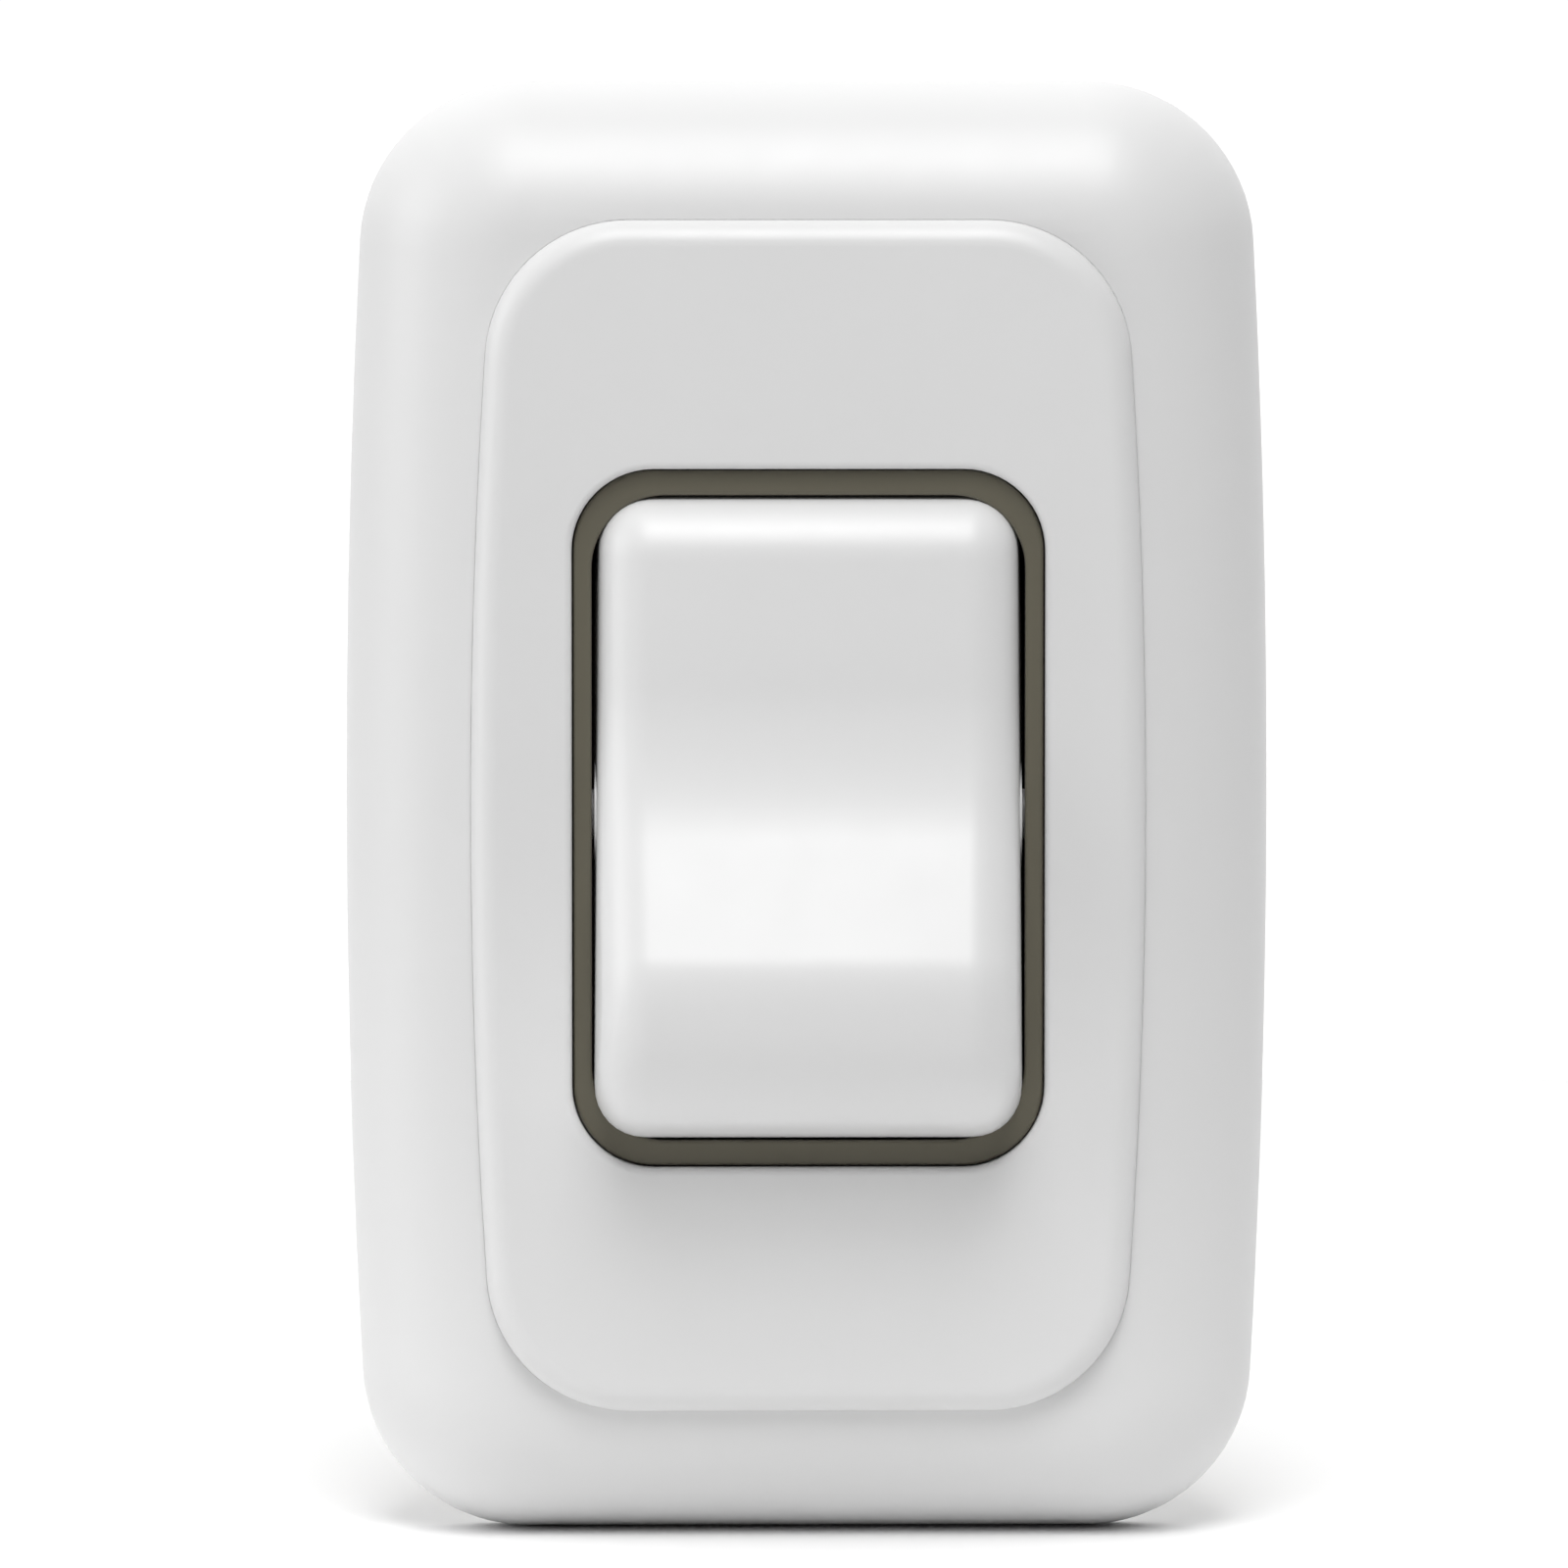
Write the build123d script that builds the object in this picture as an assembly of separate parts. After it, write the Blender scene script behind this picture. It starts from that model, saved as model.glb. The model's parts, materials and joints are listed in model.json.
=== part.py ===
from build123d import *

import os
from math import cos, radians, sin, sqrt, tan

# Contoured wall switch for 12 V lighting: a base plate screwed to the wall, a face plate
# that clips over it and hides the screws, and a rocker switch module trapped between them.
# Millimetres. +X is to the right, +Z is up and the wall is the plane Y = 0.
# Heights are counted from the wall towards the room, so a height of h is the plane Y = -h,
# and what sits inside the wall has a negative height.
# The switch is stored switched on: the upper half of the rocker is pressed in.

# ---- base plate
plate_width, plate_height = 44.45, 69.85
plate_corner, plate_bow = 8.0, 520.0
plate_edge = 0.6
dome_radius = 7.0
plate_crown = plate_edge + dome_radius
plate_wall = 2.0
deck_back, deck_front = 3.0, 5.0
collar_wall = 1.4
rib_thickness, rib_recess = 1.0, 0.3
rib_rows = (-12.0, 0.0, 12.0)

# ---- face plate
face_width, face_height = 32.2, 57.0
face_corner, face_bow = 6.8, 340.0
face_front = 8.9
face_edge_radius = 1.2
face_side_wall = 1.6
face_underside = 6.9
face_gap, face_seat = 0.15, 6.6
opening_width, opening_height, opening_corner = 22.55, 33.4, 3.9
opening_edge_radius = 0.34

# ---- hooks of the face plate, two at the top and two at the bottom
hook_x, hook_z = 9.5, 26.0
hook_width, hook_thickness = 4.0, 1.2
hook_catch, hook_catch_height = 0.5, 0.9
hook_slot_gap = 0.2
snap_gap = 0.05

# ---- screws into the wall, one above and one below the switch module
screw_spacing = 48.0
screw_head_radius, screw_head_depth = 3.5, 1.9
screw_shank_radius, screw_thread_radius = 1.6, 1.75
screw_thread_start, screw_thread_end, screw_tip = 0.3, 11.5, 14.5
screw_recess_length, screw_recess_width, screw_recess_depth = 3.6, 0.9, 1.1
screw_hole_radius = 2.1
screw_boss_radius = 4.6
screw_point_radius = 0.3
countersink_gap = 0.1

# ---- frame of the switch module
rim_width, rim_height, rim_corner = 22.4, 33.25, 3.8
rim_front, rim_back = 8.3, 7.8
rim_edge_radius = 0.15
mouth_width, mouth_height, mouth_corner = 20.66, 30.86, 3.5
flange_width, flange_height, flange_corner = 27.6, 38.4, 5.0
case_width, case_height, case_corner = 24.4, 34.6, 4.0
case_back = -12.0
case_hole_gap = 0.2
well_width, well_height, well_corner = 21.1, 31.3, 3.0
latch_width, latch_height, latch_recess = 6.0, 1.4, 0.4

# ---- rocker: rocker_throw is the whole swing from one end to the other
rocker_throw = 18.0
pivot_height = 5.6
rocker_half_width = 10.25
rocker_end_radius = 15.5
rocker_corner = 3.4
rocker_side_draft = 3.5
rocker_edge_radius = 2.5
rocker_blank_front, rocker_blank_back = 11.5, 5.0
rocker_wall, rocker_front_wall = 1.4, 1.6
rocker_upper_face = 10.2
valley_z, valley_radius = 2.7, 11.0
slope_angle, slope_length_z = 28.0, 11.1
crest_radius = 7.0
nose_angle = 20.0
skirt_angle_top, skirt_angle_bottom = 12.0, 3.0
trunnion_radius, trunnion_tip = 1.2, 12.0
trunnion_bore_radius, trunnion_bore_end = 1.25, 12.1
ear_radius = 2.6
post_radius, post_bore_radius = 2.8, 1.75
post_top, post_mouth, post_bore_top = 8.0, -5.0, 2.4
beyond = 3.0

# ---- plunger and its spring, in the post; heights are along the post from the pivot
plunger_radius, plunger_top, plunger_shoulder = 1.7, -1.6, -7.4
plunger_tip_radius, plunger_tip = 1.1, -10.47
spring_coil_radius, spring_wire_radius, spring_turns = 1.3, 0.2, 5

# ---- lever and contacts; heights on the lever are from the fulcrum
fulcrum_height = -5.9
lever_throw = 12.0
lever_length, lever_width = 18.0, 5.0
lever_underside, lever_top = 0.2, 1.0
groove_radius = 0.48
contact_z = 7.2
contact_head_radius, contact_head_height = 1.5, 0.9
rivet_radius, rivet_hole_radius = 0.8, 0.82
rivet_end_radius, rivet_end_height = 1.2, 0.3

# ---- terminal block and the two blades
block_front = -9.0
block_gap = 0.05
blade_width, blade_thickness, blade_tip = 6.3, 0.8, -20.0
blade_hole_radius, blade_hole_height = 0.85, -17.0
blade_slot_gap = 0.05
shoulder_width, shoulder_top = 8.0, -8.1
saddle_ear_width, saddle_ear_height = 0.5, 1.5
load_blade_z, load_tab_end = -10.4, -5.2
fixed_contact_height = 0.62
stop_width, stop_z, stop_length, stop_top = 5.0, 8.0, 1.8, -6.7
barrier_thickness, barrier_back, barrier_z = 1.0, -14.5, -5.2


def facing(height):
    """A plane parallel to the wall at this height, looking into the room."""
    return Plane.XZ.offset(height)


def slab(outline, low, high):
    """The outline carried from one height to another."""
    return extrude(facing(low) * outline, amount=high - low)


def box_between(low, high):
    """A box from its two corners, each given as x, height and z."""
    size = [abs(b - a) for a, b in zip(low, high)]
    middle = [(a + b) / 2 for a, b in zip(low, high)]
    return Pos(middle[0], -middle[1], middle[2]) * Box(size[0], size[1], size[2])


def bar_towards_room(x, z, radius, low, high):
    """A round bar square to the wall, from one height to another."""
    return slab(Pos(x, z) * Circle(radius), low, high)


def bowed_outline(width, height, corner, bow, inset=0.0):
    """A rounded rectangle whose top and bottom are straight and whose sides bow outwards."""
    half_x, half_z = width / 2 - inset, height / 2 - inset
    corner, bow = corner - inset, bow - inset
    bow_centre = half_x - bow
    corner_z = half_z - corner
    corner_x = bow_centre + sqrt((bow - corner) ** 2 - corner_z**2)
    reach = bow / (bow - corner)
    touch = (bow_centre + (corner_x - bow_centre) * reach, corner_z * reach)
    side = ThreePointArc(touch, (half_x, 0), (touch[0], -touch[1]))
    turn = TangentArc((touch[0], touch[1]), (corner_x, half_z), tangent=side % 0 * -1)
    right = [side, turn, mirror(turn, about=Plane.XZ)]
    left = [mirror(edge, about=Plane.YZ) for edge in right]
    top = Line((-corner_x, half_z), (corner_x, half_z))
    bottom = Line((-corner_x, -half_z), (corner_x, -half_z))
    return make_face(right + left + [top, bottom])


def cross_bar(start, end, radius):
    """A round bar along X through the origin."""
    return extrude(Plane.YZ.offset(start) * Circle(radius), amount=end - start)


# Half the throw each way: the rocker leans back at the top, the lever dips at the bottom.
rocker_tilt = Rot(-rocker_throw / 2, 0, 0)
lever_tilt = Rot(lever_throw / 2, 0, 0)
at_pivot = Pos(0, -pivot_height, 0)
at_fulcrum = Pos(0, -fulcrum_height, 0)
ends = (1, -1)
sides = (1, -1)


def base_plate():
    outline = bowed_outline(plate_width, plate_height, plate_corner, plate_bow)
    plate = slab(outline, 0, plate_crown)
    front_edges = plate.faces().sort_by(Axis.Y)[0].edges()
    plate = fillet(front_edges, dome_radius)
    seat = bowed_outline(face_width, face_height, face_corner, face_bow)
    plate -= slab(seat, deck_front, face_front)
    relief = bowed_outline(face_width, face_height, face_corner, face_bow, -face_gap)
    plate -= slab(relief, deck_front, face_seat)
    hollow = bowed_outline(plate_width, plate_height, plate_corner, plate_bow, plate_wall)
    plate -= slab(hollow, 0, deck_back)

    hole_width, hole_height = case_width + 2 * case_hole_gap, case_height + 2 * case_hole_gap
    hole = RectangleRounded(hole_width, hole_height, case_corner + case_hole_gap)
    collar = RectangleRounded(
        hole_width + 2 * collar_wall, hole_height + 2 * collar_wall, case_corner + collar_wall
    )
    rib_reach = plate_width / 2 - 1.5 * plate_wall
    for z in rib_rows:
        plate += box_between(
            (-rib_reach, rib_recess, z - rib_thickness / 2),
            (rib_reach, deck_back, z + rib_thickness / 2),
        )
    rib_top = plate_height / 2 - 1.5 * plate_wall
    plate += box_between(
        (-rib_thickness / 2, rib_recess, -rib_top), (rib_thickness / 2, deck_back, rib_top)
    )
    plate += slab(collar, 0, deck_front)
    plate -= slab(hole, 0, deck_front)

    for end in ends:
        z = end * screw_spacing / 2
        plate += bar_towards_room(0, z, screw_boss_radius, 0, deck_front)
        plate -= bar_towards_room(0, z, screw_hole_radius, 0, deck_front)
        plate -= screw_head(z, countersink_gap)

    slot_low = hook_z - hook_thickness / 2 - 2 * hook_slot_gap
    slot_high = hook_z + hook_thickness / 2 + hook_slot_gap
    slot_half = hook_width / 2 + hook_slot_gap
    for side in sides:
        middle = side * hook_x
        slot = box_between(
            (middle - slot_half, 0, slot_low), (middle + slot_half, deck_front, slot_high)
        )
        plate -= slot
        plate -= mirror(slot, about=Plane.XY)
    return plate


def face_plate():
    outline = bowed_outline(face_width, face_height, face_corner, face_bow)
    plate = slab(outline, deck_front, face_front)
    plate = fillet(plate.faces().sort_by(Axis.Y)[0].edges(), face_edge_radius)
    pocket = bowed_outline(face_width, face_height, face_corner, face_bow, face_side_wall)
    plate -= slab(pocket, deck_front, face_underside)
    opening = RectangleRounded(opening_width, opening_height, opening_corner)
    plate -= slab(opening, deck_front, face_front)
    rim = plate.faces().sort_by(Axis.Y)[0].inner_wires()[0].edges()
    plate = fillet(rim, opening_edge_radius)

    catch_top = deck_back - snap_gap
    catch_tip = catch_top - hook_catch_height
    inner, outer = hook_z - hook_thickness / 2, hook_z + hook_thickness / 2
    barb = Polyline(
        (-face_underside, inner), (-catch_tip, inner), (-catch_tip, outer - hook_catch / 2),
        (-catch_top, outer + hook_catch), (-catch_top, outer), (-face_underside, outer), close=True,
    )
    hook = extrude(Plane.YZ * make_face(barb), amount=hook_width / 2, both=True)
    for side in sides:
        placed = Pos(side * hook_x, 0, 0) * hook
        plate += placed
        plate += mirror(placed, about=Plane.XY)
    return plate


def screw_head(z, gap=0.0):
    """The countersunk head, or with a gap the seat that takes it."""
    top, bottom = screw_head_radius + gap, screw_shank_radius + gap
    return loft([
        facing(deck_front) * Pos(0, z) * Circle(top),
        facing(deck_front - screw_head_depth) * Pos(0, z) * Circle(bottom),
    ])


def mounting_screws():
    screws = []
    neck, low = deck_front - screw_head_depth, deck_front - screw_recess_depth
    long, short = screw_recess_length / 2, screw_recess_width / 2
    for end in ends:
        z = end * screw_spacing / 2
        screw = screw_head(z)
        screw += bar_towards_room(0, z, screw_shank_radius, -screw_thread_start, neck)
        screw += bar_towards_room(0, z, screw_thread_radius, -screw_thread_end, -screw_thread_start)
        screw += loft([
            facing(-screw_thread_end) * Pos(0, z) * Circle(screw_thread_radius),
            facing(-screw_tip) * Pos(0, z) * Circle(screw_point_radius),
        ])
        screw -= box_between((-long, low, z - short), (long, deck_front, z + short))
        screw -= box_between((-short, low, z - long), (short, deck_front, z + long))
        screws.append(screw)
    return Compound(children=[screw.solid() for screw in screws])


def switch_frame():
    frame = slab(RectangleRounded(rim_width, rim_height, rim_corner), deck_front, rim_front)
    frame += slab(
        RectangleRounded(flange_width, flange_height, flange_corner), deck_front, face_underside
    )
    frame += slab(RectangleRounded(case_width, case_height, case_corner), case_back, deck_front)
    frame -= slab(RectangleRounded(well_width, well_height, well_corner), case_back, rim_back)
    frame -= slab(RectangleRounded(mouth_width, mouth_height, mouth_corner), rim_back, rim_front)
    frame = fillet(frame.faces().sort_by(Axis.Y)[0].edges(), rim_edge_radius)
    bores = Rot(0, 90, 0) * Cylinder(trunnion_bore_radius, 2 * trunnion_bore_end)
    frame -= Pos(0, -pivot_height, 0) * bores
    latch_top = (case_back + block_front) / 2 + latch_height / 2
    frame -= box_between(
        (-case_width, latch_top - latch_height, -latch_width / 2),
        (case_width, latch_top, latch_width / 2),
    )
    return frame


def on_end(angle, end):
    """A point of Y and Z on the rocker's end arc, at an angle outwards from the pivot."""
    turn = radians(angle)
    return (-rocker_end_radius * sin(turn), end * rocker_end_radius * cos(turn))


def rocker_wave():
    """What lies between the rocker's skirt and its wave-shaped front, with the pivot at 0."""
    face = pivot_height - rocker_upper_face
    valley = (face, valley_z)
    crest = (face - slope_length_z * tan(radians(slope_angle)), valley_z - slope_length_z)
    reach = rocker_end_radius + beyond
    nose = (crest[0] + (reach + crest[1]) * tan(radians(nose_angle)), -reach)
    front = FilletPolyline(
        (face, reach), valley, crest, nose, radius=[valley_radius, crest_radius]
    )
    top, bottom = on_end(-skirt_angle_top, 1), on_end(skirt_angle_bottom, -1)
    skirt = Polyline(nose, (bottom[0], -reach), bottom, top, (top[0], reach), (face, reach))
    return extrude(Plane.YZ * make_face([front, skirt]), amount=2 * rocker_half_width, both=True)


def rocker_blank(inset=0.0):
    """The rocker before its front is shaped: level, its pivot at 0, shrunk by the inset."""
    radius, corner = rocker_end_radius - inset, rocker_corner - inset
    front, back = rocker_blank_front, rocker_blank_back
    tip = (-front, sqrt(radius**2 - front**2))
    heel = (back, sqrt(radius**2 - back**2))
    end = ThreePointArc(tip, (0, radius), heel)
    outline = [end, mirror(end, about=Plane.XZ)]
    outline += [Line(tip, (tip[0], -tip[1])), Line(heel, (heel[0], -heel[1]))]
    blank = extrude(Plane.YZ * make_face(outline), amount=2 * rocker_half_width, both=True)

    half, draft = rocker_half_width - inset, tan(radians(rocker_side_draft))
    narrow, wide = half - front * draft, half + back * draft
    from_above = Polyline(
        (-narrow, -front), (narrow, -front), (wide, back), (-wide, back), close=True
    )
    blank &= extrude(make_face(from_above), amount=rocker_end_radius + 1, both=True)
    corners = [
        edge for edge in blank.edges()
        if abs(edge.center().X) > narrow - 1 and abs((edge @ 1 - edge @ 0).Y) > 1
        and abs(edge.center().Z) > rocker_end_radius / 2
    ]
    return fillet(corners, corner)


def outer_loop(faces):
    """The edges round the outside of a group of faces."""
    edges = [edge for face in faces for edge in face.edges()]
    return [edge for edge in edges if edges.count(edge) == 1]


def rocker():
    wave = rocker_wave()
    body = rocker_tilt * rocker_blank() & wave
    front_faces = [face for face in body.faces() if face.normal_at().Y < -0.5]
    body = fillet(outer_loop(front_faces), rocker_edge_radius)
    hollow = rocker_tilt * rocker_blank(rocker_wall) & Pos(0, rocker_front_wall, 0) * wave
    shell = body - hollow
    for side in sides:
        inner = side * (rocker_half_width - rocker_wall)
        shell += cross_bar(inner, side * rocker_half_width, ear_radius)
        shell += cross_bar(inner, side * trunnion_tip, trunnion_radius)
    post = rocker_tilt * slab(Circle(post_radius), post_mouth, post_top)
    shell += post & (body + hollow + rocker_tilt * slab(Circle(post_radius), post_mouth, 0))
    shell -= rocker_tilt * slab(Circle(post_bore_radius), post_mouth, post_bore_top)
    return at_pivot * shell


def plunger():
    body = slab(Circle(plunger_radius), plunger_shoulder, plunger_top)
    tip_centre = plunger_tip + plunger_tip_radius
    body += slab(Circle(plunger_tip_radius), tip_centre, plunger_shoulder)
    body += Pos(0, -tip_centre, 0) * Sphere(plunger_tip_radius)
    return at_pivot * rocker_tilt * body


def plunger_spring():
    wire = spring_wire_radius
    low, high = plunger_top + wire + snap_gap, post_bore_top - wire - snap_gap
    coil = Helix((high - low) / spring_turns, high - low, spring_coil_radius)
    section = Plane(coil @ 0, z_dir=coil % 0) * Circle(wire)
    spring = facing(low) * sweep(section, path=coil)
    return at_pivot * rocker_tilt * spring


def contact_lever():
    half = lever_length / 2
    lever = box_between(
        (-lever_width / 2, lever_underside, -half), (lever_width / 2, lever_top, half)
    )
    lever = fillet(lever.edges().filter_by(Axis.Y), lever_width / 6)
    lever -= cross_bar(-lever_width, lever_width, groove_radius)
    lever -= bar_towards_room(0, -contact_z, rivet_hole_radius, lever_underside, lever_top)
    return at_fulcrum * lever_tilt * lever


def moving_contact():
    low = lever_underside - contact_head_height
    contact = bar_towards_room(0, -contact_z, contact_head_radius, low, lever_underside)
    contact += bar_towards_room(0, -contact_z, rivet_radius, lever_underside, lever_top)
    end_top = lever_top + rivet_end_height
    contact += bar_towards_room(0, -contact_z, rivet_end_radius, lever_top, end_top)
    return at_fulcrum * lever_tilt * contact


def blade(z, top):
    """A push-on blade through the block, from its chamfered tip up to a height inside."""
    half_width, half_thickness = blade_width / 2, blade_thickness / 2
    body = box_between(
        (-half_width, blade_tip, z - half_thickness), (half_width, top, z + half_thickness)
    )
    tip_edges = body.edges().filter_by(Axis.X).sort_by(Axis.Y)[-2:]
    body = chamfer(tip_edges, blade_thickness / 3)
    hole = Pos(0, -blade_hole_height, z) * Cylinder(blade_hole_radius, 2 * blade_thickness)
    return body - hole


def common_terminal():
    half = blade_thickness / 2
    terminal = blade(0, fulcrum_height)
    terminal += box_between(
        (-shoulder_width / 2, block_front, -half), (shoulder_width / 2, shoulder_top, half)
    )
    ridge_end = blade_width / 2 - saddle_ear_width
    terminal += Pos(0, -fulcrum_height, 0) * cross_bar(-ridge_end, ridge_end, half)
    for side in sides:
        terminal += box_between(
            (side * ridge_end, fulcrum_height, -half),
            (side * blade_width / 2, fulcrum_height + saddle_ear_height, half),
        )
    return terminal


def load_terminal():
    half_width, half_thickness = blade_width / 2, blade_thickness / 2
    tab_top = block_front + blade_thickness
    terminal = blade(load_blade_z, tab_top)
    back_side = load_blade_z - half_thickness
    terminal += box_between(
        (-half_width, block_front, back_side), (half_width, tab_top, load_tab_end)
    )
    outside_of_bend = terminal.edges().filter_by(Axis.X).sort_by_distance((0, -tab_top, back_side))
    terminal = fillet(outside_of_bend[0], blade_thickness * 0.9)
    return terminal - bar_towards_room(0, -contact_z, rivet_hole_radius, block_front, tab_top)


def fixed_contact():
    tab_top = block_front + blade_thickness
    top = tab_top + fixed_contact_height
    contact = bar_towards_room(0, -contact_z, contact_head_radius, tab_top, top)
    contact = fillet(contact.edges().sort_by(Axis.Y)[0], blade_thickness / 4)
    return contact + bar_towards_room(0, -contact_z, rivet_radius, block_front, tab_top)


def terminal_block():
    width, height = well_width - 2 * block_gap, well_height - 2 * block_gap
    block = slab(RectangleRounded(width, height, well_corner - block_gap), case_back, block_front)
    latch_middle = (case_back + block_front) / 2
    latch_reach = case_width / 2 - latch_recess
    block += box_between(
        (-latch_reach, latch_middle - latch_height / 2 + snap_gap, -latch_width / 2 + snap_gap),
        (latch_reach, latch_middle + latch_height / 2 - snap_gap, latch_width / 2 - snap_gap),
    )
    block += box_between(
        (-stop_width / 2, block_front, stop_z - stop_length / 2),
        (stop_width / 2, stop_top, stop_z + stop_length / 2),
    )
    block += box_between(
        (-blade_width / 2, barrier_back, barrier_z - barrier_thickness / 2),
        (blade_width / 2, case_back, barrier_z + barrier_thickness / 2),
    )
    slot_x, slot_z = blade_width / 2 + blade_slot_gap, blade_thickness / 2 + blade_slot_gap
    for z in (0, load_blade_z):
        block -= box_between((-slot_x, case_back, z - slot_z), (slot_x, block_front, z + slot_z))
    return block


PARTS = {
    "base_plate": base_plate,
    "face_plate": face_plate,
    "mounting_screws": mounting_screws,
    "switch_frame": switch_frame,
    "terminal_block": terminal_block,
    "common_terminal": common_terminal,
    "load_terminal": load_terminal,
    "fixed_contact": fixed_contact,
    "rocker": rocker,
    "plunger": plunger,
    "plunger_spring": plunger_spring,
    "contact_lever": contact_lever,
    "moving_contact": moving_contact,
}

os.makedirs("parts", exist_ok=True)
for name, build in PARTS.items():
    export_step(build(), f"parts/{name}.step")
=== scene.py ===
"""Contoured rocker wall switch: the looks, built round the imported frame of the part.

Lengths inside the piece makers are millimetres, in the frame of the part: +X to the right,
+Z up, +Y into the wall. They become metres when a piece is finished.
"""

import json
import math

import bmesh
import bpy
from bpy.props import FloatProperty, FloatVectorProperty, PointerProperty
from mathutils import Matrix, Vector


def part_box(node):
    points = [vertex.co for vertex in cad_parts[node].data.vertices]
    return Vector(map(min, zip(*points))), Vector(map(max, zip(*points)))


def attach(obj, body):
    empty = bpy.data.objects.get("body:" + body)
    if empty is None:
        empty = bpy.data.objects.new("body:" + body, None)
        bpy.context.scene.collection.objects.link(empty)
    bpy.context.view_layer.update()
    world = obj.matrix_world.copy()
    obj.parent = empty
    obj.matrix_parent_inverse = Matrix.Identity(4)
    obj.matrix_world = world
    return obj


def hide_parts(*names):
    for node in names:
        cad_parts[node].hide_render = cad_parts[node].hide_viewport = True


bl_info = {
    "name": "Contoured Wall Switch",
    "version": (1, 0, 0),
    "blender": (4, 5, 0),
    "location": "3D View > Sidebar > Wall Switch",
    "description": "Finishes and fine pieces of a contoured rocker wall switch",
    "category": "Object",
}

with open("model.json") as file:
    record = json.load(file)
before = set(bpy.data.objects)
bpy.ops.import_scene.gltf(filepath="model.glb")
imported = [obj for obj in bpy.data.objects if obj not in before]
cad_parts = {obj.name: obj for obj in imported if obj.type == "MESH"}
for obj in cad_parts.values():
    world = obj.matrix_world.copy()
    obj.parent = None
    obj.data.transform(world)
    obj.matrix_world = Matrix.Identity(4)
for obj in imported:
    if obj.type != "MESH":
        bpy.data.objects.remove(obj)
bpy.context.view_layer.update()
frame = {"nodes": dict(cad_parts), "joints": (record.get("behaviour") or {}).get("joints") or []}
NODES = frame["nodes"]
MM = 0.001

FRONT = Vector((0, -1, 0))
ACROSS = Vector((1, 0, 0))
SHARP_EDGE = math.radians(38)
MERGE = 1e-4


def joint(name):
    """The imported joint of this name."""
    return next(j for j in frame["joints"] if j["name"] == name)


def in_mm(point):
    """A point of the record, in millimetres."""
    return Vector(point) / MM


PIVOT = in_mm(joint("rocker_hinge")["pos_m"])
ROCKER_THROW = math.radians(joint("rocker_hinge")["range_deg"][1])


def node_box(name):
    """Lowest and highest corner of a CAD node, in millimetres."""
    low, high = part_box(name)
    return in_mm(low), in_mm(high)


# ------------------------------------------------------------------ settings


class CoverFinish(bpy.types.PropertyGroup):
    """The white moulded covers and the rocker."""

    cover_colour: FloatVectorProperty(
        name="Cover colour", description="Colour of the base plate and face plate",
        subtype="COLOR", size=3, min=0, max=1, default=(0.715, 0.715, 0.715),
    )
    rocker_colour: FloatVectorProperty(
        name="Rocker colour", description="Colour of the rocker",
        subtype="COLOR", size=3, min=0, max=1, default=(0.73, 0.73, 0.73),
    )
    gloss_roughness: FloatProperty(
        name="Roughness", description="How blurred reflections are on the white mouldings",
        subtype="FACTOR", min=0, max=1, default=0.38,
    )
    edge_radius: FloatProperty(
        name="Moulded edge", description="Softening of the moulded edges, in shading only",
        unit="LENGTH", subtype="DISTANCE", min=0, default=0.00012,
    )


class SwitchFinish(bpy.types.PropertyGroup):
    """The dark case of the switch module and its block."""

    case_colour: FloatVectorProperty(
        name="Case colour", description="Colour of the switch frame and its rim",
        subtype="COLOR", size=3, min=0, max=1, default=(0.125, 0.115, 0.083),
    )
    block_colour: FloatVectorProperty(
        name="Block colour", description="Colour of the terminal block",
        subtype="COLOR", size=3, min=0, max=1, default=(0.018, 0.018, 0.019),
    )
    case_roughness: FloatProperty(
        name="Roughness", description="How blurred reflections are on the dark mouldings",
        subtype="FACTOR", min=0, max=1, default=0.42,
    )


class RockerShape(bpy.types.PropertyGroup):
    """The rocker's outline, for a rocker pressed in at the top."""

    half_width: FloatProperty(
        name="Half width", description="Half width at the pivot, in millimetres",
        min=5, default=10.25,
    )
    end_radius: FloatProperty(
        name="End radius", description="Radius of the end faces about the pivot, in millimetres",
        min=5, default=15.5,
    )
    face_height: FloatProperty(
        name="Face height", description="From the pivot out to the upper face, in millimetres",
        min=1, default=4.6,
    )
    valley_z: FloatProperty(
        name="Valley", description="Where the face meets the slope, above the pivot, in millimetres",
        default=2.6,
    )
    slope_drop: FloatProperty(
        name="Slope drop", description="From the valley down to the crest, in millimetres",
        min=1, default=10.7,
    )
    slope_angle: FloatProperty(
        name="Slope angle", description="Lean of the slope between valley and crest",
        subtype="ANGLE", unit="ROTATION", default=math.radians(28),
    )
    nose_angle: FloatProperty(
        name="Nose angle", description="Lean of the short face below the crest",
        subtype="ANGLE", unit="ROTATION", default=math.radians(20),
    )
    valley_radius: FloatProperty(
        name="Valley radius", description="Radius of the round in the valley, in millimetres",
        min=0.5, default=15.0,
    )
    crest_radius: FloatProperty(
        name="Crest radius", description="Radius of the round on the crest, in millimetres",
        min=0.5, default=5.4,
    )
    edge_round: FloatProperty(
        name="Edge round", description="Round along the front edges and the corners, in millimetres",
        min=0.2, default=2.4,
    )
    wall: FloatProperty(
        name="Wall", description="Wall thickness of the moulding, in millimetres",
        min=0.5, default=1.4,
    )


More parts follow.
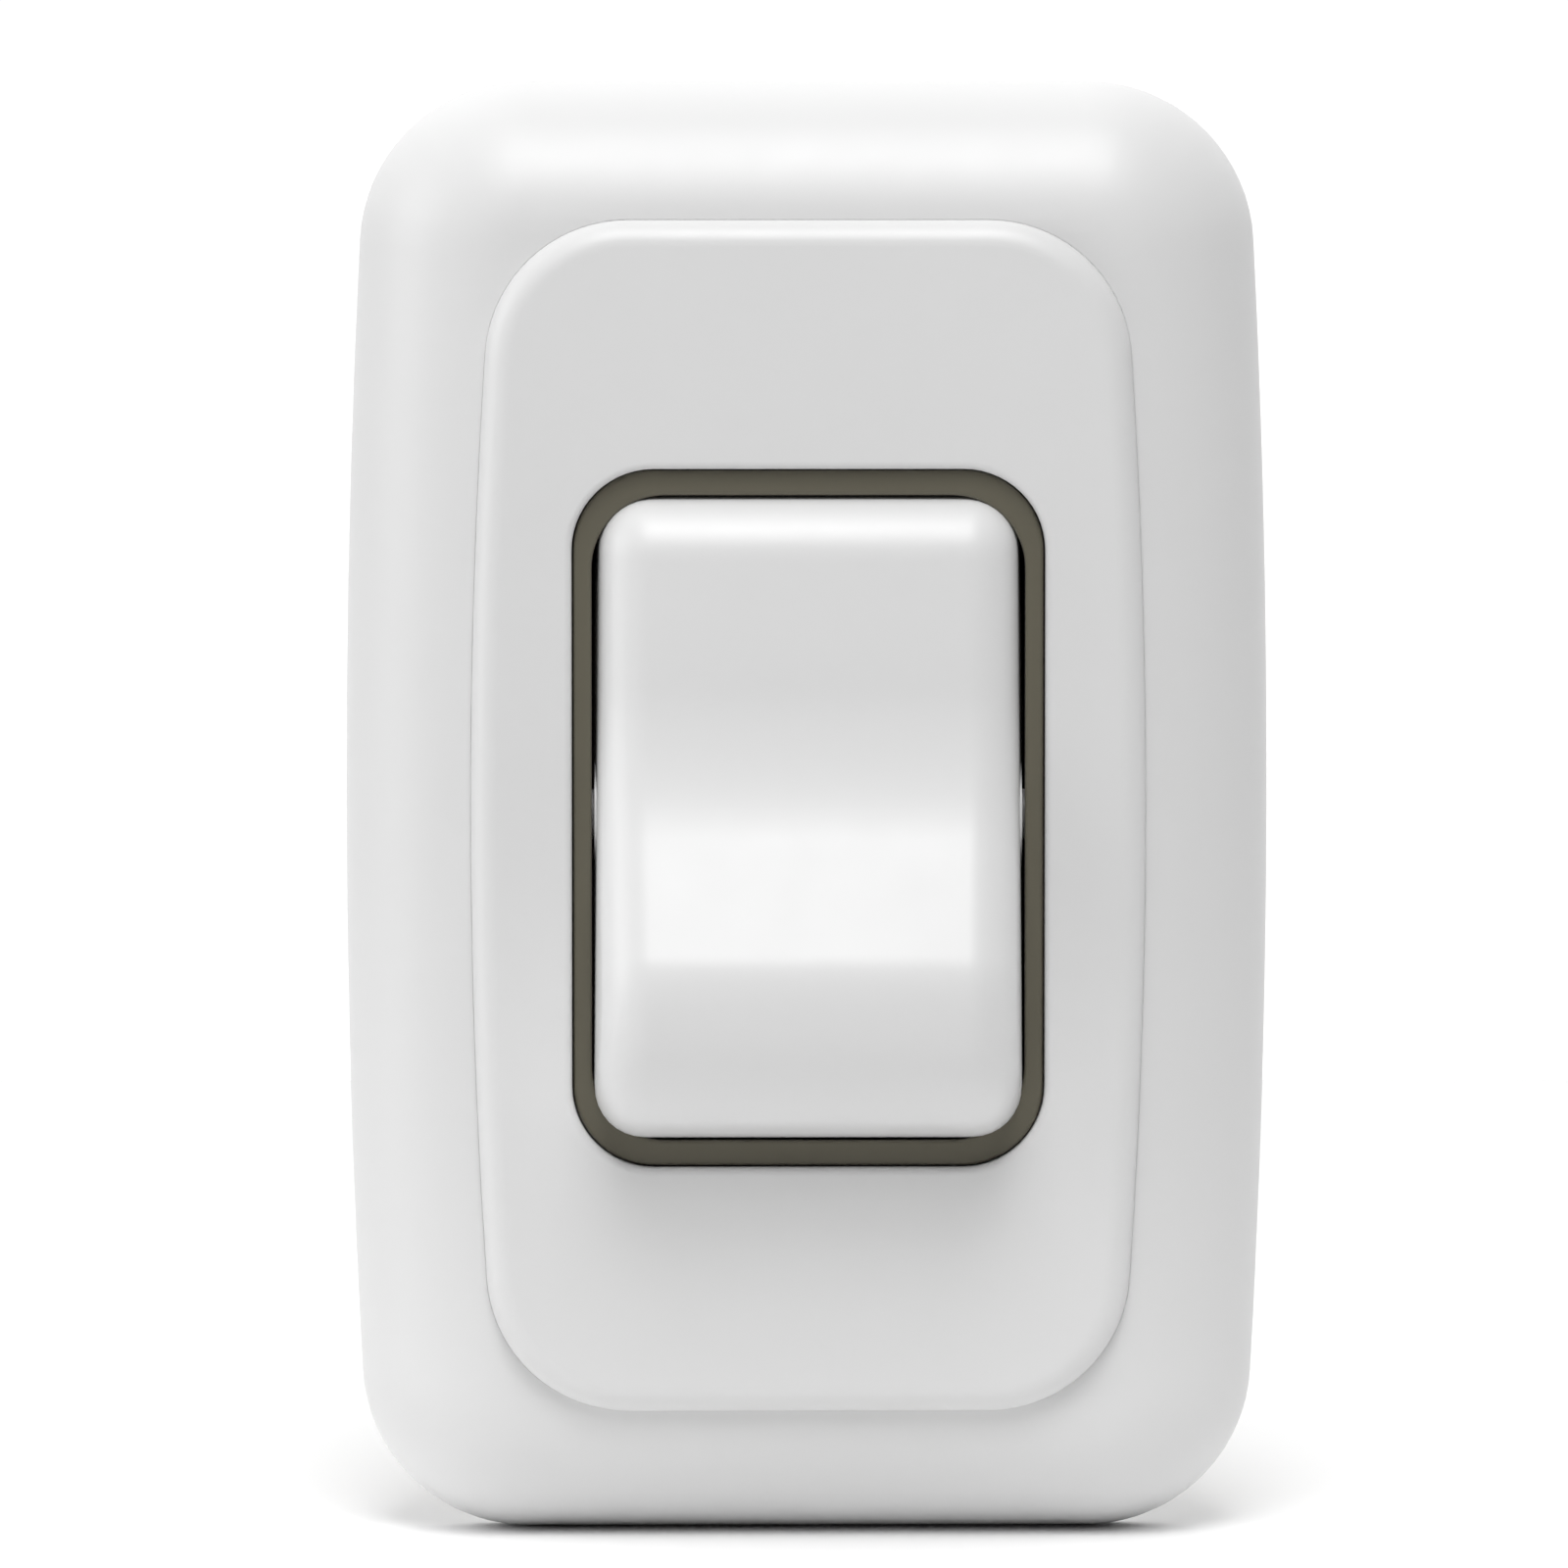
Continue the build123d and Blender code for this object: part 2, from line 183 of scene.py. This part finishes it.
class ScrewShape(bpy.types.PropertyGroup):
    """The two wall screws."""

    head_radius: FloatProperty(
        name="Head radius", description="Radius of the countersunk head, in millimetres",
        min=1, default=3.5,
    )
    thread_radius: FloatProperty(
        name="Thread radius", description="Outer radius of the thread, in millimetres",
        min=0.5, default=1.75,
    )
    thread_depth: FloatProperty(
        name="Thread depth", description="How deep the thread is cut, in millimetres",
        min=0.05, default=0.5,
    )
    pitch: FloatProperty(
        name="Pitch", description="From one turn of the thread to the next, in millimetres",
        min=0.2, default=1.25,
    )
    recess_length: FloatProperty(
        name="Recess length", description="Length of the arms of the cross, in millimetres",
        min=0.5, default=3.6,
    )
    recess_width: FloatProperty(
        name="Recess width", description="Width of the arms of the cross, in millimetres",
        min=0.2, default=0.9,
    )


class Studio(bpy.types.PropertyGroup):
    """Camera and light."""

    azimuth: FloatProperty(
        name="Azimuth", description="Direction of the camera round the switch",
        subtype="ANGLE", unit="ROTATION", default=math.radians(-0.5),
    )
    elevation: FloatProperty(
        name="Elevation", description="Height of the camera above the horizon",
        subtype="ANGLE", unit="ROTATION", default=math.radians(4.5),
    )
    distance: FloatProperty(
        name="Distance", description="From the camera to the middle of the base plate",
        subtype="DISTANCE", unit="LENGTH", min=0.1, default=0.6,
    )
    view_width: FloatProperty(
        name="View width", description="Width of the view at the base plate",
        subtype="DISTANCE", unit="LENGTH", min=0.05, default=0.0758,
    )
    key_power: FloatProperty(
        name="Key light", description="Power of the soft panel above the camera",
        subtype="POWER", unit="POWER", min=0, default=1.9,
    )
    overhead_power: FloatProperty(
        name="Overhead light", description="Power of the soft panel nearly overhead",
        subtype="POWER", unit="POWER", min=0, default=1.72,
    )
    side_power: FloatProperty(
        name="Side light", description="Power of the soft panel on the left",
        subtype="POWER", unit="POWER", min=0, default=1.4,
    )
    surround: FloatVectorProperty(
        name="Surround", description="Brightness of the surround from behind, above and below",
        size=3, min=0, default=(1.03, 0.64, 1.92),
    )


# ------------------------------------------------------------------ finishes


def node_after(tree, kind, **inputs):
    """A shader node with some of its inputs set or linked."""
    node = tree.nodes.new(kind)
    for name, value in inputs.items():
        socket = node.inputs[name.replace("_", " ")]
        if isinstance(value, bpy.types.NodeSocket):
            tree.links.new(value, socket)
        else:
            socket.default_value = value
    return node


def new_finish(name, metallic, roughness):
    """A material with a Principled shader and Object coordinates."""
    material = bpy.data.materials.new(name)
    material.use_nodes = True
    tree = material.node_tree
    shader = tree.nodes["Principled BSDF"]
    shader.inputs["Metallic"].default_value = metallic
    shader.inputs["Roughness"].default_value = roughness
    place = tree.nodes.new("ShaderNodeTexCoord").outputs["Object"]
    return material, tree, shader, place


def spread(tree, factor, low, high):
    """A factor spread between two values."""
    node = node_after(tree, "ShaderNodeMapRange", Value=factor, To_Min=low, To_Max=high)
    return node.outputs["Result"]


def tinted(tree, factor, colour, amount):
    """The colour made a little darker and lighter by a factor."""
    dark = [c * (1 - amount) for c in colour] + [1]
    light = [min(1, c * (1 + amount)) for c in colour] + [1]
    mix = tree.nodes.new("ShaderNodeMix")
    mix.data_type = "RGBA"
    tree.links.new(factor, mix.inputs["Factor"])
    mix.inputs["A"].default_value = dark
    mix.inputs["B"].default_value = light
    return mix.outputs["Result"]


def moulded_plastic(name, colour, roughness, grain, edge=0.0, cloud=0.012):
    """Injection-moulded plastic: faint flow clouding, a fine tool texture and soft edges."""
    material, tree, shader, place = new_finish(name, 0.0, roughness)
    clouds = node_after(
        tree, "ShaderNodeTexNoise", Vector=place, Scale=95.0, Detail=3.0, Roughness=0.55
    )
    tree.links.new(tinted(tree, clouds.outputs["Fac"], colour, cloud), shader.inputs["Base Color"])
    handling = node_after(tree, "ShaderNodeTexNoise", Vector=place, Scale=420.0, Detail=4.0)
    tree.links.new(
        spread(tree, handling.outputs["Fac"], roughness - 0.05, roughness + 0.07),
        shader.inputs["Roughness"],
    )
    tool_marks = node_after(
        tree, "ShaderNodeTexNoise", Vector=place, Scale=5200.0, Detail=2.0, Roughness=0.6
    )
    bump = node_after(
        tree, "ShaderNodeBump", Height=tool_marks.outputs["Fac"], Strength=grain, Distance=0.00002
    )
    if edge:
        soft_edge = tree.nodes.new("ShaderNodeBevel")
        soft_edge.samples = 6
        soft_edge.inputs["Radius"].default_value = edge
        tree.links.new(soft_edge.outputs["Normal"], bump.inputs["Normal"])
    tree.links.new(bump.outputs["Normal"], shader.inputs["Normal"])
    shader.inputs["IOR"].default_value = 1.5
    return material


def rolled_metal(name, colour, roughness, grain_axis, streaks=900.0):
    """Strip metal with rolling lines along one axis and a little tarnish."""
    material, tree, shader, place = new_finish(name, 1.0, roughness)
    stretch = node_after(tree, "ShaderNodeMapping", Vector=place)
    stretch.inputs["Scale"].default_value = [0.06 if axis == grain_axis else 1.0 for axis in "XYZ"]
    lines = node_after(
        tree, "ShaderNodeTexNoise", Vector=stretch.outputs["Vector"], Scale=streaks * 6, Detail=3.0
    )
    tarnish = node_after(tree, "ShaderNodeTexNoise", Vector=place, Scale=520.0, Detail=5.0)
    tree.links.new(tinted(tree, tarnish.outputs["Fac"], colour, 0.11), shader.inputs["Base Color"])
    tree.links.new(
        spread(tree, lines.outputs["Fac"], roughness - 0.07, roughness + 0.12),
        shader.inputs["Roughness"],
    )
    bump = node_after(
        tree, "ShaderNodeBump", Height=lines.outputs["Fac"], Strength=0.25, Distance=0.00001
    )
    tree.links.new(bump.outputs["Normal"], shader.inputs["Normal"])
    return material


def paint(thing, material):
    """Give a piece its material."""
    thing.data.materials.clear()
    thing.data.materials.append(material)


def cover_white():
    """The satin white of the base plate and the face plate."""
    finish = bpy.context.scene.cover_finish
    return moulded_plastic(
        "satin_white_cover", finish.cover_colour, finish.gloss_roughness, 0.05, finish.edge_radius
    )


# ------------------------------------------------------------------ making meshes


def finish_piece(bm, name, body, material, replaces=()):
    """Turn a bmesh in millimetres into a piece that rides on a body."""
    bmesh.ops.scale(bm, vec=(MM, MM, MM), verts=bm.verts)
    mesh = bpy.data.meshes.new(name)
    bm.to_mesh(mesh)
    bm.free()
    piece = bpy.data.objects.new(name, mesh)
    bpy.context.scene.collection.objects.link(piece)
    mesh.shade_smooth()
    mesh.set_sharp_from_angle(angle=SHARP_EDGE)
    paint(piece, material)
    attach(piece, body)
    if replaces:
        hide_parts(*replaces)
    return piece


def draw_on(bm, vert, *places):
    """Carry an outline on from a vertex through some places, and return the new vertices."""
    made = []
    for place in places:
        grown = bmesh.ops.extrude_vert_indiv(bm, verts=[vert])
        vert = grown["verts"][0]
        vert.co = place
        made.append(vert)
    return made


def sweep_point(bm, vert, centre, angle, steps):
    """Draw an arc of the outline about an axis along X, and return its last vertex."""
    swept = bmesh.ops.spin(
        bm, geom=[vert], cent=centre, axis=ACROSS, angle=angle, steps=steps, use_duplicate=False
    )
    return next(item for item in swept["geom_last"] if isinstance(item, bmesh.types.BMVert))


def round_points(bm, verts, offset, segments):
    """Round corners of a flat outline."""
    bmesh.ops.bevel(
        bm, geom=verts, offset=offset, segments=segments, profile=0.5, affect="VERTICES",
        offset_type="OFFSET", material=-1,
    )


def round_edges(bm, edges, offset, segments):
    """Round edges of a solid."""
    bmesh.ops.bevel(
        bm, geom=edges, offset=offset, segments=segments, profile=0.5, affect="EDGES",
        offset_type="OFFSET", material=-1, clamp_overlap=False,
    )


def add_bar(bm, start, end, radius, segments=32, end_radius=None):
    """A round bar between two points."""
    start, end = Vector(start), Vector(end)
    along = end - start
    turn = Vector((0, 0, 1)).rotation_difference(along).to_matrix().to_4x4()
    bar = bmesh.ops.create_cone(
        bm, cap_ends=True, segments=segments, radius1=radius,
        radius2=radius if end_radius is None else end_radius, depth=along.length,
        matrix=Matrix.Translation((start + end) / 2) @ turn,
    )
    return bar["verts"]


def turn_piece(bm, outline, steps=40, place=Matrix()):
    """Turn an outline of (radius, depth) pairs round the depth axis, as on a lathe."""
    first, *others = [Vector((radius, depth, 0)) for radius, depth in outline]
    start = bm.verts.new(first)
    verts = [start, *draw_on(bm, start, *others)]
    edges = {e for v in verts for e in v.link_edges}
    before = set(bm.verts) - set(verts)
    bmesh.ops.spin(
        bm, geom=[*verts, *edges], cent=(0, 0, 0), axis=FRONT, angle=2 * math.pi, steps=steps,
        use_merge=True, use_duplicate=False,
    )
    made = [v for v in bm.verts if v not in before]
    bmesh.ops.transform(bm, matrix=place, verts=made)
    bmesh.ops.remove_doubles(bm, verts=made, dist=MERGE)
    return [v for v in made if v.is_valid]


def straight_up(bm, loop, depth):
    """Carry a closed outline along the depth and close its far end."""
    grown = bmesh.ops.extrude_edge_only(bm, edges=loop)
    verts = [item for item in grown["geom"] if isinstance(item, bmesh.types.BMVert)]
    edges = [item for item in grown["geom"] if isinstance(item, bmesh.types.BMEdge)]
    bmesh.ops.translate(bm, vec=(0, depth, 0), verts=verts)
    far = [e for e in edges if e.verts[0] in verts and e.verts[1] in verts]
    bmesh.ops.contextual_create(bm, geom=far)


# ------------------------------------------------------------------ the pieces


def end_point(angle, end, radius):
    """A point on the rocker's end arc, at an angle outwards from the pivot."""
    return Vector((0, -radius * math.sin(angle), end * radius * math.cos(angle)))


def rocker_outline(bm, shape):
    """Side view of the rocker as a closed loop through its skirt, ends and wave."""
    radius, face = shape.end_radius, -shape.face_height
    slope, nose = math.tan(shape.slope_angle), math.tan(shape.nose_angle)
    skirt_top, skirt_bottom = math.radians(12), math.radians(3)

    # The nose runs down from the crest to where it meets the end arc.
    crest = Vector((0, face - shape.slope_drop * slope, shape.valley_z - shape.slope_drop))
    top_angle = low_angle = math.asin(-face / radius)
    for _ in range(20):
        low = end_point(low_angle, -1, radius)
        low_angle = math.asin(-(crest.y + nose * (crest.z - low.z)) / radius)

    # The arcs stop short of the face, so that the round of the edge has a flat to lie on.
    flat = 1.2 * shape.edge_round / radius
    heel = bm.verts.new(end_point(-skirt_top, 1, radius))
    bend = sweep_point(bm, heel, (0, 0, 0), skirt_top + top_angle - flat, 8)
    _, valley, peak, _, turn = draw_on(
        bm, bend, end_point(top_angle, 1, radius), Vector((0, face, shape.valley_z)), crest, low,
        end_point(low_angle - flat, -1, radius),
    )
    toe = sweep_point(bm, turn, (0, 0, 0), low_angle - flat - skirt_bottom, 8)
    bm.edges.new((toe, heel))
    bmesh.ops.remove_doubles(bm, verts=bm.verts, dist=MERGE)
    round_points(bm, [valley], shape.valley_radius * math.tan(shape.slope_angle / 2), 18)
    bend_at_crest = shape.slope_angle + shape.nose_angle
    round_points(bm, [peak], shape.crest_radius * math.tan(bend_at_crest / 2), 16)
    return bmesh.ops.contextual_create(bm, geom=bm.edges)["faces"]


def level_depth(point):
    """How far a point of the rocker lies outwards from the pivot with the rocker level."""
    half = ROCKER_THROW / 2
    return -point.y * math.cos(half) + point.z * math.sin(half)


def rocker_block(bm, shape):
    """The rocker as a solid block, with its front edges and corners rounded."""
    side = rocker_outline(bm, shape)
    half = shape.half_width
    bmesh.ops.translate(bm, vec=(-half, 0, 0), verts=bm.verts)
    grown = bmesh.ops.extrude_face_region(bm, geom=side, use_keep_orig=True)
    moved = [item for item in grown["geom"] if isinstance(item, bmesh.types.BMVert)]
    bmesh.ops.translate(bm, vec=(2 * half, 0, 0), verts=moved)
    bmesh.ops.recalc_face_normals(bm, faces=bm.faces)

    corners = [
        e for e in bm.edges
        if abs(e.verts[0].co.x + e.verts[1].co.x) > half
        and any(abs(f.normal.x) > 0.9 for f in e.link_faces)
        and any(abs(f.normal.z) > 0.8 for f in e.link_faces)
        and abs(e.verts[0].co.z) > shape.end_radius / 2
    ]
    front = {f for f in bm.faces if f.normal.y < -0.5}
    outer = [e for e in bm.edges if len(front.intersection(e.link_faces)) == 1]
    round_edges(bm, [*corners, *outer], shape.edge_round, 8)


def hollow_out(bm, shape):
    """Open the block at the skirt, narrow it outwards by the mould's draft and give it a lining."""
    half = shape.half_width
    skirt = [f for f in bm.faces if f.normal.y > 0.9]
    bmesh.ops.delete(bm, geom=skirt, context="FACES_ONLY")
    draft = math.tan(math.radians(3.5))
    for vert in bm.verts:
        vert.co.x *= 1 - draft * level_depth(vert.co) / half
    bmesh.ops.recalc_face_normals(bm, faces=bm.faces)
    inside = bmesh.ops.duplicate(bm, geom=[*bm.verts, *bm.edges, *bm.faces])["geom"]
    lining = [item for item in inside if isinstance(item, bmesh.types.BMVert)]
    hollow = (1 - shape.wall / half, 0.86, 1 - shape.wall / shape.end_radius)
    skirt_level = Matrix.Translation((0, -3, 0))
    bmesh.ops.scale(bm, vec=hollow, space=skirt_level, verts=lining)
    bmesh.ops.bridge_loops(bm, edges=[e for e in bm.edges if e.is_boundary])
    bmesh.ops.recalc_face_normals(bm, faces=bm.faces)


def make_rocker(shape, material):
    """The rocker's shell with its two pins and the post for the plunger."""
    bm = bmesh.new()
    rocker_block(bm, shape)
    hollow_out(bm, shape)

    outer, inner = shape.half_width, shape.half_width - shape.wall
    pin_radius, pin_end, ear_radius = 1.2, 12.0, 2.6
    for hand in (1, -1):
        add_bar(bm, (hand * inner, 0, 0), (hand * pin_end, 0, 0), pin_radius)
        add_bar(bm, (hand * (inner - 0.1), 0, 0), (hand * (outer - 0.05), 0, 0), ear_radius)

    post_radius, bore_radius, bevel, lip = 2.8, 1.75, 0.3, 0.1
    root, floor, mouth = -3.8, -3.05, 5.0
    post = [
        (post_radius, root), (post_radius, mouth - bevel), (post_radius - bevel, mouth),
        (bore_radius + lip, mouth), (bore_radius, mouth - lip), (bore_radius, floor), (0, floor),
    ]
    turn_piece(bm, post, 40, Matrix.Rotation(-ROCKER_THROW / 2, 4, "X"))
    bmesh.ops.translate(bm, vec=PIVOT, verts=bm.verts)
    return finish_piece(bm, "rocker_shell", "rocker_body", material, ["rocker"])


def cross_outline(bm, shape, depth):
    """The cross of the driver recess as a closed outline."""
    long, short = shape.recess_length / 2, shape.recess_width / 2
    quarter = [(long, -short), (long, short), (short, short), (short, long)]
    places = []
    for turn in range(4):
        spin = Matrix.Rotation(turn * math.pi / 2, 4, FRONT)
        places += [spin @ Vector((x, depth, z)) for x, z in quarter[:3]]
    start = bm.verts.new(places[0])
    verts = [start, *draw_on(bm, start, *places[1:])]
    bm.edges.new((verts[-1], start))
    return list({e for v in verts for e in v.link_edges})


def make_screw(bm, shape, top, end):
    """One countersunk wood screw with its thread, its axis on the depth axis."""
    already = set(bm.verts)
    head, core = shape.head_radius, shape.thread_radius - shape.thread_depth
    shank, land, cone = 1.6, 0.15, 1.9
    shank_end, thread_start, point, recess = 0.2, 0.6, 3.0, 1.1
    outline = [
        (head, top), (head, top + land), (shank, top + cone), (shank, shank_end),
        (core, shank_end + 0.3), (core, end - point), (0.12, end - 0.1), (0, end),
    ]
    turn_piece(bm, outline, 48)
    rim = [e for e in bm.edges if e.is_boundary and not already.intersection(e.verts)]
    cross = cross_outline(bm, shape, top)
    bmesh.ops.bridge_loops(bm, edges=rim + cross)
    straight_up(bm, cross, recess)

    steps = 28
    turns = int((end - 0.9 - thread_start) / shape.pitch)
    half = shape.pitch * 0.36
    root = core - 0.08
    ridge = [(root, 0), (shape.thread_radius, half), (root, 2 * half)]
    verts = [bm.verts.new((radius, thread_start + depth, 0)) for radius, depth in ridge]
    flank = bmesh.ops.contextual_create(bm, geom=verts)["faces"]
    before = set(bm.verts) - set(verts)
    bmesh.ops.spin(
        bm, geom=flank, cent=(0, 0, 0), axis=(0, 1, 0), dvec=(0, shape.pitch / steps, 0),
        angle=2 * math.pi * turns, steps=steps * turns, use_duplicate=False,
    )
    for vert in set(bm.verts) - before:
        taper = min(1.0, (end - vert.co.y) / 3.2, (vert.co.y - thread_start / 2) / 1.2)
        radius = math.hypot(vert.co.x, vert.co.z)
        wanted = max(0.1, taper) * (radius - core) + core * min(1.0, (end - vert.co.y) / point)
        vert.co.x *= wanted / radius
        vert.co.z *= wanted / radius
    return [v for v in bm.verts if v not in already]


# ------------------------------------------------------------------ operators


class WALLSWITCH_OT_covers(bpy.types.Operator):
    """Finish the base plate and the face plate in satin white"""

    bl_idname = "wallswitch.covers"
    bl_label = "Base and Face Plates"

    def execute(self, context):
        white = cover_white()
        for node in ("base_plate", "face_plate"):
            paint(NODES[node], white)
        return {"FINISHED"}


class WALLSWITCH_OT_case(bpy.types.Operator):
    """Finish the switch frame in taupe and its terminal block in black"""

    bl_idname = "wallswitch.case"
    bl_label = "Switch Frame and Block"

    def execute(self, context):
        finish = context.scene.switch_finish
        edge = context.scene.cover_finish.edge_radius
        taupe = moulded_plastic(
            "taupe_case", finish.case_colour, finish.case_roughness, 0.09, edge, 0.03
        )
        black = moulded_plastic("black_block", finish.block_colour, 0.5, 0.14, edge, 0.06)
        paint(NODES["switch_frame"], taupe)
        paint(NODES["terminal_block"], black)
        return {"FINISHED"}


class WALLSWITCH_OT_rocker(bpy.types.Operator):
    """Model the wave-shaped rocker with its pins and plunger post"""

    bl_idname = "wallswitch.rocker"
    bl_label = "Rocker"

    def execute(self, context):
        finish = context.scene.cover_finish
        white = moulded_plastic(
            "satin_white_rocker", finish.rocker_colour, finish.gloss_roughness - 0.04, 0.04
        )
        make_rocker(context.scene.rocker_shape, white)
        return {"FINISHED"}


class WALLSWITCH_OT_screws(bpy.types.Operator):
    """Model the two wall screws with their threads and driver recesses"""

    bl_idname = "wallswitch.screws"
    bl_label = "Wall Screws"

    def execute(self, context):
        shape = context.scene.screw_shape
        low, high = node_box("mounting_screws")
        reach = (high.z - low.z) / 2 - shape.head_radius
        bm = bmesh.new()
        for end in (1, -1):
            made = make_screw(bm, shape, low.y, high.y)
            bmesh.ops.translate(bm, vec=(0, 0, end * reach), verts=made)
        bmesh.ops.recalc_face_normals(bm, faces=bm.faces)
        zinc = rolled_metal("bright_zinc", (0.62, 0.63, 0.64), 0.3, "Y")
        finish_piece(
            bm, "threaded_screws", "housing", zinc, ["mounting_screws"]
        )
        return {"FINISHED"}


class WALLSWITCH_OT_metals(bpy.types.Operator):
    """Finish the blades, lever, contacts, spring and plunger"""

    bl_idname = "wallswitch.metals"
    bl_label = "Metal Parts"

    def execute(self, context):
        brass = rolled_metal("rolled_brass", (0.78, 0.56, 0.25), 0.3, "Y")
        silver = rolled_metal("contact_silver", (0.88, 0.87, 0.84), 0.28, "Z")
        steel = rolled_metal("drawn_spring_steel", (0.46, 0.46, 0.47), 0.32, "X")
        acetal = moulded_plastic("natural_acetal", (0.72, 0.69, 0.6), 0.38, 0.08)
        finishes = {
            "common_terminal": brass, "load_terminal": brass,
            "contact_lever": brass, "fixed_contact": silver, "moving_contact": silver,
            "plunger_spring": steel, "plunger": acetal,
        }
        for node, material in finishes.items():
            paint(NODES[node], material)
        return {"FINISHED"}


def direction(azimuth, elevation):
    """From the switch outwards: azimuth 0 is in front of it, 90 degrees is to the right."""
    return Vector((
        math.sin(azimuth) * math.cos(elevation),
        -math.cos(azimuth) * math.cos(elevation),
        math.sin(elevation),
    ))


def soft_panel(name, azimuth, elevation, size, power, distance=0.7):
    """A square panel of light that faces the switch from a distance."""
    light = bpy.data.lights.new(name, "AREA")
    light.size = size
    light.energy = power
    panel = bpy.data.objects.new(name, light)
    bpy.context.scene.collection.objects.link(panel)
    outwards = direction(math.radians(azimuth), math.radians(elevation))
    panel.location = outwards * distance
    panel.rotation_euler = outwards.to_track_quat("Z", "Y").to_euler()


def light_surround(strengths):
    """A white surround that is brightest behind the switch, above it and below it."""
    world = bpy.data.worlds.new("surround")
    world.use_nodes = True
    tree = world.node_tree
    towards = tree.nodes.new("ShaderNodeTexCoord").outputs["Generated"]
    axes = node_after(tree, "ShaderNodeSeparateXYZ", Vector=towards).outputs
    total = None
    for axis, sign, strength in zip("YZZ", (1, 1, -1), strengths):
        side = tree.nodes.new("ShaderNodeMath")
        side.operation = "MULTIPLY"
        side.use_clamp = True
        tree.links.new(axes[axis], side.inputs[0])
        side.inputs[1].default_value = sign
        part = tree.nodes.new("ShaderNodeMath")
        part.operation = "MULTIPLY_ADD"
        tree.links.new(side.outputs["Value"], part.inputs[0])
        part.inputs[1].default_value = strength
        part.inputs[2].default_value = 0
        if total:
            tree.links.new(total, part.inputs[2])
        total = part.outputs["Value"]
    backdrop = tree.nodes["Background"]
    backdrop.inputs["Color"].default_value = (1, 1, 1, 1)
    tree.links.new(total, backdrop.inputs["Strength"])
    bpy.context.scene.world = world


def pale_floor(height):
    """A pale floor just under the switch, from a little in front of it to behind it."""
    half_width, half_depth = 0.4, 0.14
    bm = bmesh.new()
    bmesh.ops.create_grid(bm, x_segments=1, y_segments=1, size=1)
    bmesh.ops.scale(bm, vec=(half_width, half_depth, 1), verts=bm.verts)
    bmesh.ops.translate(bm, vec=(0, half_depth / 2, height), verts=bm.verts)
    mesh = bpy.data.meshes.new("floor")
    bm.to_mesh(mesh)
    bm.free()
    floor = bpy.data.objects.new("floor", mesh)
    bpy.context.scene.collection.objects.link(floor)
    material, _, shader, _ = new_finish("pale_floor", 0.0, 0.7)
    shader.inputs["Base Color"].default_value = (0.96, 0.96, 0.96, 1)
    mesh.materials.append(material)


class WALLSWITCH_OT_stage(bpy.types.Operator):
    """Add the floor, the surround, the lights and the camera"""

    bl_idname = "wallswitch.stage"
    bl_label = "Stage"

    def execute(self, context):
        scene = context.scene
        studio = scene.studio
        low, high = node_box("base_plate")
        middle = Vector((0, 0, (low.z + high.z) / 2)) * MM

        pale_floor(low.z * MM - 0.00002)
        light_surround(studio.surround)
        soft_panel("key", 0, 50, 0.35, studio.key_power)
        soft_panel("overhead", 0, 67, 0.35, studio.overhead_power)
        soft_panel("left_side", -80, 15, 0.45, studio.side_power)

        camera_data = bpy.data.cameras.new("camera")
        camera = bpy.data.objects.new("camera", camera_data)
        scene.collection.objects.link(camera)
        scene.camera = camera
        outwards = direction(studio.azimuth, studio.elevation)
        aim = middle + Vector((-0.00109, 0, 0.001))
        camera.location = aim + outwards * studio.distance
        camera.rotation_euler = outwards.to_track_quat("Z", "Y").to_euler()
        camera_data.lens = camera_data.sensor_width * studio.distance / studio.view_width
        camera_data.clip_start, camera_data.clip_end = 0.01, 20.0
        scene.view_settings.view_transform = "Standard"
        return {"FINISHED"}


class WALLSWITCH_PT_panel(bpy.types.Panel):
    """Lists the pieces of the switch"""

    bl_label = "Wall Switch"
    bl_idname = "WALLSWITCH_PT_panel"
    bl_space_type = "VIEW_3D"
    bl_region_type = "UI"
    bl_category = "Wall Switch"

    def draw(self, context):
        for operator in OPERATORS:
            self.layout.operator(operator.bl_idname)


OPERATORS = (
    WALLSWITCH_OT_covers,
    WALLSWITCH_OT_case,
    WALLSWITCH_OT_rocker,
    WALLSWITCH_OT_screws,
    WALLSWITCH_OT_metals,
    WALLSWITCH_OT_stage,
)
SETTINGS = {
    "cover_finish": CoverFinish,
    "switch_finish": SwitchFinish,
    "rocker_shape": RockerShape,
    "screw_shape": ScrewShape,
    "studio": Studio,
}


def register():
    for cls in (*SETTINGS.values(), *OPERATORS, WALLSWITCH_PT_panel):
        bpy.utils.register_class(cls)
    for name, group in SETTINGS.items():
        setattr(bpy.types.Scene, name, PointerProperty(type=group))


def unregister():
    for name in SETTINGS:
        delattr(bpy.types.Scene, name)
    for cls in reversed((*SETTINGS.values(), *OPERATORS, WALLSWITCH_PT_panel)):
        bpy.utils.unregister_class(cls)


def main():
    register()
    for operator in OPERATORS:
        group, name = operator.bl_idname.split(".")
        getattr(getattr(bpy.ops, group), name)()


if __name__ == "__main__":
    main()
